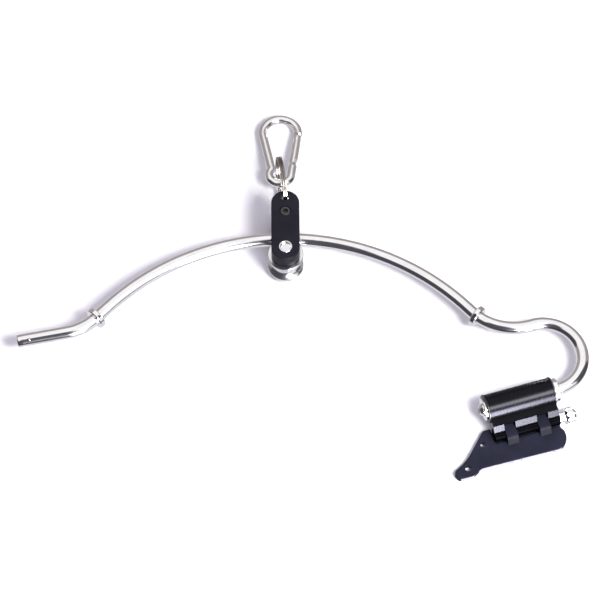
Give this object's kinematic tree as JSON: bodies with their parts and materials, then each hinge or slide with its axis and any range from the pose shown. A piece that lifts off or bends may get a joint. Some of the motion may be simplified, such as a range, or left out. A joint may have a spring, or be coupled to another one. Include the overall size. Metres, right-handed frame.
{
  "type": "bow roller",
  "caption": "Bow-shaped stainless rod with a sliding roller carriage, stop collars, ring and snap hook, a sprung plug-in tip and a folding swivel barrel on a flat bracket.",
  "frame": {"origin": "centre of the tail hole on the back face of the bracket plate", "axes": "+Z out of the bracket plate's front face, square to the plane of the bow; +X along the chord of the bow from its plug-in tip towards the bracket end; +Y towards the hook"},
  "size_m": [0.4496, 0.3293, 0.0476],
  "materials": {
    "polished_stainless": "polished",
    "turned_stainless": "turned and polished",
    "hook_stainless": "tumbled",
    "nickel_ring": "warm nickel, satin",
    "gloss_black": "gloss black anodised",
    "charcoal_coat": "matte charcoal coat",
    "cheek_black": "matte black anodised",
    "bush_black": "matte",
    "black_oxide": "black oxide",
    "bearing_steel": "polished",
    "spring_steel": "bright wire"
  },
  "bodies": {
    "bracket": {"bracket_plate": "charcoal_coat"},
    "pin": {"hinge_pin": "polished_stainless", "pin_knob": "polished_stainless"},
    "barrel": {"swivel_barrel": "gloss_black", "barrel_bush_inner": "bush_black", "barrel_bush_outer": "bush_black"},
    "bow": {"bow_rod": "polished_stainless", "left_stop_collar": "polished_stainless", "right_stop_collar": "polished_stainless", "collar_grub_screws": "black_oxide", "thrust_collar": "polished_stainless", "end_washer": "polished_stainless", "end_screw": "polished_stainless", "tip_detent_spring": "spring_steel"},
    "detent": {"tip_detent_ball": "bearing_steel"},
    "carriage": {"front_cheek": "cheek_black", "middle_cheek": "cheek_black", "rear_cheek": "cheek_black", "hollow_axle": "turned_stainless", "clamp_screw": "black_oxide", "spacer_sleeve": "turned_stainless", "clamp_nut": "turned_stainless"},
    "roller": {"roller": "turned_stainless", "roller_bush_front": "bush_black", "roller_bush_rear": "bush_black"},
    "ring": {"split_ring": "nickel_ring"},
    "hook": {"hook_body": "hook_stainless", "gate_rivet": "hook_stainless"},
    "gate": {"hook_gate": "hook_stainless", "gate_plunger": "bearing_steel", "gate_spring": "spring_steel"}
  },
  "joints": [
    {"name": "pin_pull", "type": "slide", "parent": "bracket", "child": "pin", "axis": [0.9578, 0.2874, 0], "range_m": [0, 0.06]},
    {"name": "barrel_fold", "type": "hinge", "parent": "bracket", "child": "barrel", "pos_m": [0.04607, 0.03366, 0.007], "axis": [0.9578, 0.2874, 0], "range_deg": [-5, 110]},
    {"name": "bow_swivel", "type": "hinge", "parent": "barrel", "child": "bow", "pos_m": [0.04027, 0.05301, 0.0153], "axis": [0.9578, 0.2874, 0], "range_deg": [-120, 120]},
    {"name": "detent_press", "type": "slide", "parent": "bow", "child": "detent", "axis": [-0.0928, 0.4602, -0.8829], "range_m": [0, 0.0007], "stiffness_N_per_m": 500, "springref_m": -0.002, "deforming": ["tip_detent_spring"]},
    {"name": "carriage_travel", "type": "hinge", "parent": "bow", "child": "carriage", "pos_m": [-0.13945, 0.00219, 0.0153], "axis": [0, 0, 1], "range_deg": [-46, 45]},
    {"name": "roller_spin", "type": "hinge", "parent": "carriage", "child": "roller", "pos_m": [-0.14098, 0.17729, 0.0153], "axis": [0, 0, 1], "range_deg": [-840, 840]},
    {"name": "ring_swing", "type": "hinge", "parent": "carriage", "child": "ring", "pos_m": [-0.14138, 0.22328, 0.0341], "axis": [0, 0, 1], "range_deg": [-35, 35]},
    {"name": "hook_swing", "type": "hinge", "parent": "ring", "child": "hook", "pos_m": [-0.14578, 0.25907, 0.01105], "axis": [0, 0.1288, 0.9917], "range_deg": [-25, 25]},
    {"name": "gate_open", "type": "hinge", "parent": "hook", "child": "gate", "pos_m": [-0.1321, 0.29505, 0.00638], "axis": [0, -0.1288, -0.9917], "range_deg": [0, 25], "stiffness_Nm_per_rad": 0.05, "springref_deg": -17.19}
  ],
  "couplings": [
    {"joint": "roller_spin", "follows": "carriage_travel", "ratio": -18}
  ]
}
